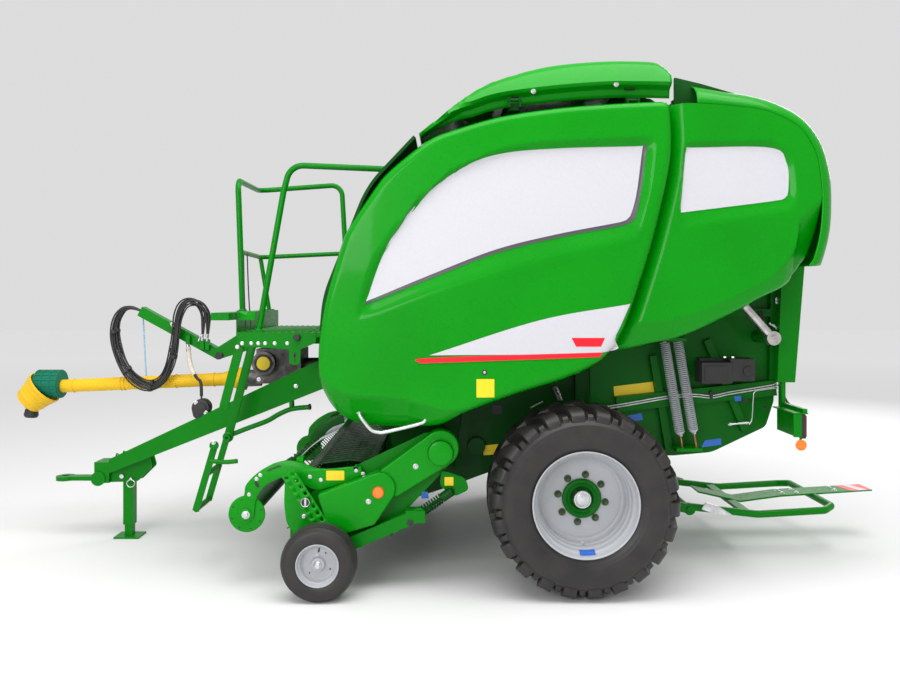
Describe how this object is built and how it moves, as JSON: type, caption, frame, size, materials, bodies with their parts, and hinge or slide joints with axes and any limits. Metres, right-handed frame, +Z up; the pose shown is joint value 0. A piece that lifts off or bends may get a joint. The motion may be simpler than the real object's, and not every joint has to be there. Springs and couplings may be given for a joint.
{
  "type": "variable chamber baler",
  "caption": "towed round baler with drawbar, guarded drive shaft, service platform, tined pickup, gull-wing side doors, swinging tailgate and bale ramp",
  "frame": {"origin": "middle of the overall length and width, on the floor", "axes": "+X to the rear, away from the hitch; +Y to the machine's right side; +Z up"},
  "size_m": [5.989, 2.64, 3.0756],
  "materials": {
    "green_paint": "gloss green paint",
    "green_plastic": "gloss green moulding",
    "tyre_rubber": "black tyre rubber",
    "silver_rim": "silver wheel paint",
    "yellow_guard": "yellow shaft guard",
    "teal_collar": "teal shaft collar",
    "black_steel": "black paint",
    "black_plastic": "black plastic",
    "zinc_steel": "zinc plated steel",
    "spring_paint": "light grey spring",
    "blue_rope": "light blue rope",
    "lamp_red": "red lamp",
    "chrome_rod": "chromed rod",
    "belt_rubber": "belt rubber"
  },
  "bodies": {
    "chassis": {"chamber_wall_left": "green_paint", "chamber_wall_right": "green_paint", "frame_cross_beams": "green_paint", "axle": "green_paint", "hood": "green_plastic", "front_panel": "green_paint", "drawbar": "green_paint", "hitch_eye": "black_steel", "gearbox": "black_steel", "shaft_guard": "yellow_guard", "shaft_collar": "teal_collar", "shaft_yoke": "black_steel", "hose_arm": "green_paint", "platform": "green_paint", "platform_rails": "green_paint", "ladder": "green_paint", "shaft_rope": "blue_rope", "hose_upper": "belt_rubber", "hose_lower": "belt_rubber", "hose_lead": "belt_rubber", "hose_bracket": "black_plastic"},
    "wheel_left": {"tyre_left": "tyre_rubber", "rim_left": "silver_rim"},
    "wheel_right": {"tyre_right": "tyre_rubber", "rim_right": "silver_rim"},
    "tailgate": {"tailgate_wall_left": "green_paint", "tailgate_wall_right": "green_paint", "tailgate_beams": "green_paint", "tailgate_panel_left": "green_plastic", "tailgate_panel_right": "green_plastic", "tailgate_cover": "green_plastic", "lubricator": "black_plastic", "tension_springs": "spring_paint", "rear_lamps": "lamp_red", "tailgate_rollers": "zinc_steel", "tailgate_belts": "belt_rubber"},
    "door_left": {"side_door_left": "green_plastic"},
    "door_right": {"side_door_right": "green_plastic"},
    "jack": {"jack_leg": "zinc_steel"},
    "ladder_step": {"ladder_step": "green_paint"},
    "pickup": {"pickup_side_left": "green_paint", "pickup_side_right": "green_paint", "chain_covers": "green_paint", "pickup_bands": "green_paint"},
    "reel": {"tine_reel": "zinc_steel"},
    "gauge_wheel_left": {"gauge_tyre_left": "tyre_rubber", "gauge_rim_left": "silver_rim"},
    "gauge_wheel_right": {"gauge_tyre_right": "tyre_rubber", "gauge_rim_right": "silver_rim"},
    "windrow_guard": {"windrow_guard": "green_paint", "windrow_bars": "green_paint", "windrow_comb": "green_paint"},
    "crop_roller": {"crop_roller": "green_paint"},
    "feed_rotor": {"feed_rotor": "green_paint"},
    "starter_roller": {"starter_roller": "green_paint"},
    "bale_ramp": {"bale_ramp": "green_paint"},
    "ram_barrels": {"ram_barrels": "black_steel"},
    "ram_rods": {"ram_rods": "chrome_rod"}
  },
  "joints": [
    {"name": "wheel_left_spin", "type": "hinge", "parent": "chassis", "child": "wheel_left", "pos_m": [0.79246, -1.055, 0.541], "axis": [0, 1, 0], "continuous": true},
    {"name": "wheel_right_spin", "type": "hinge", "parent": "chassis", "child": "wheel_right", "pos_m": [0.79246, 1.055, 0.541], "axis": [0, 1, 0], "continuous": true},
    {"name": "tailgate_swing", "type": "hinge", "parent": "chassis", "child": "tailgate", "pos_m": [1.27246, 0, 2.9], "axis": [0, -1, 0], "range_deg": [0, 60]},
    {"name": "door_left_swing", "type": "hinge", "parent": "chassis", "child": "door_left", "pos_m": [0.79246, -1.185, 2.812], "axis": [-1, 0, 0], "range_deg": [0, 75]},
    {"name": "door_right_swing", "type": "hinge", "parent": "chassis", "child": "door_right", "pos_m": [0.79246, 1.185, 2.812], "axis": [1, 0, 0], "range_deg": [0, 75]},
    {"name": "jack_fold", "type": "hinge", "parent": "chassis", "child": "jack", "pos_m": [-2.27554, 0, 0.438], "axis": [0, -1, 0], "range_deg": [0, 100]},
    {"name": "ladder_step_fold", "type": "hinge", "parent": "chassis", "child": "ladder_step", "pos_m": [-1.40754, -0.664, 0.789], "axis": [0, 1, 0], "range_deg": [0, 150]},
    {"name": "pickup_lift", "type": "hinge", "parent": "chassis", "child": "pickup", "pos_m": [-0.01754, 0, 0.826], "axis": [0, 1, 0], "range_deg": [0, 12]},
    {"name": "reel_spin", "type": "hinge", "parent": "pickup", "child": "reel", "pos_m": [-0.68754, 0, 0.452], "axis": [0, 1, 0], "continuous": true},
    {"name": "gauge_wheel_left_spin", "type": "hinge", "parent": "pickup", "child": "gauge_wheel_left", "pos_m": [-0.69654, -1.237, 0.212], "axis": [0, 1, 0], "continuous": true},
    {"name": "gauge_wheel_right_spin", "type": "hinge", "parent": "pickup", "child": "gauge_wheel_right", "pos_m": [-0.69654, 1.237, 0.212], "axis": [0, 1, 0], "continuous": true},
    {"name": "windrow_guard_lift", "type": "hinge", "parent": "pickup", "child": "windrow_guard", "pos_m": [-0.50954, 0, 0.704], "axis": [0, 1, 0], "range_deg": [0, 8]},
    {"name": "crop_roller_spin", "type": "hinge", "parent": "windrow_guard", "child": "crop_roller", "pos_m": [-1.14654, 0, 0.435], "axis": [0, 1, 0], "continuous": true},
    {"name": "feed_rotor_spin", "type": "hinge", "parent": "chassis", "child": "feed_rotor", "pos_m": [-0.15254, 0, 0.64], "axis": [0, 1, 0], "continuous": true},
    {"name": "starter_roller_spin", "type": "hinge", "parent": "chassis", "child": "starter_roller", "pos_m": [0.20246, 0, 0.76], "axis": [0, 1, 0], "continuous": true},
    {"name": "bale_ramp_tilt", "type": "hinge", "parent": "chassis", "child": "bale_ramp", "pos_m": [1.60146, 0, 0.313], "axis": [0, 1, 0], "range_deg": [0, 12]},
    {"name": "ram_barrel_swing", "type": "hinge", "parent": "chassis", "child": "ram_barrels", "pos_m": [1.21846, 0, 2.312], "axis": [0, -1, 0], "range_deg": [-0.5, 65.04]},
    {"name": "ram_rod_slide", "type": "slide", "parent": "ram_barrels", "child": "ram_rods", "axis": [0.6608, 0, -0.7505], "range_m": [-0.002, 0.5818]}
  ],
  "couplings": [
    {"joint": "ram_barrel_swing", "follows": "tailgate_swing", "ratio": 1.0756},
    {"joint": "ram_rod_slide", "follows": "tailgate_swing", "m_per_rad": 0.55371}
  ]
}
